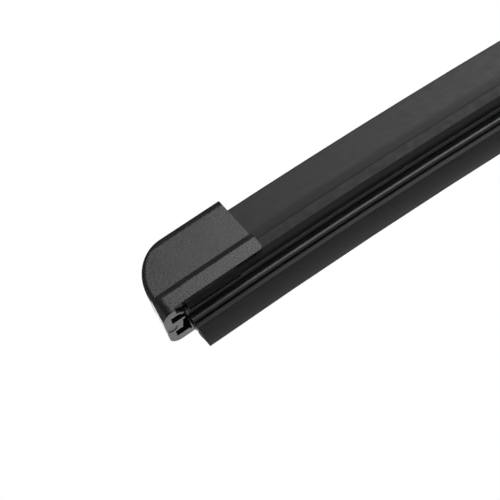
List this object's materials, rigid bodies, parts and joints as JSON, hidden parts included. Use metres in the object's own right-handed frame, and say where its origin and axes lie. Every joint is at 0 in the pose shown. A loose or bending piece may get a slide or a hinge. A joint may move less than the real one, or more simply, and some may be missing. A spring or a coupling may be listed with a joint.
{
  "type": "wiper blade",
  "caption": "Flat windscreen wiper blade with an aerodynamic spoiler, moulded end caps, spring rails, a wiping rubber and a pivoting adapter for a hook arm.",
  "frame": {"origin": "middle of the pivot pin, which is also the centre of the bend of the arm's hook", "axes": "+X along the blade, +Y across it, +Z away from the glass; the wiping edge faces -Z"},
  "size_m": [0.401, 0.018, 0.0443],
  "materials": {
    "rubber": "matte",
    "spring_steel": "satin black",
    "spoiler": "matte",
    "cap_plastic": "fine grain",
    "bracket_metal": "satin black",
    "pin_steel": "brushed",
    "adapter_plastic": "smooth"
  },
  "bodies": {
    "adapter": {"hook_adapter": "adapter_plastic"},
    "blade": {"wiping_rubber": "rubber", "front_rail": "spring_steel", "rear_rail": "spring_steel", "spoiler_left": "spoiler", "spoiler_right": "spoiler", "end_cap_left": "cap_plastic", "end_cap_right": "cap_plastic", "connector_base": "bracket_metal", "pivot_pin": "pin_steel", "connector_cover": "cap_plastic"}
  },
  "joints": [
    {"name": "blade_pivot", "type": "hinge", "parent": "adapter", "child": "blade", "pos_m": [0, 0, 0], "axis": [0, 1, 0], "range_deg": [-15, 15]}
  ]
}
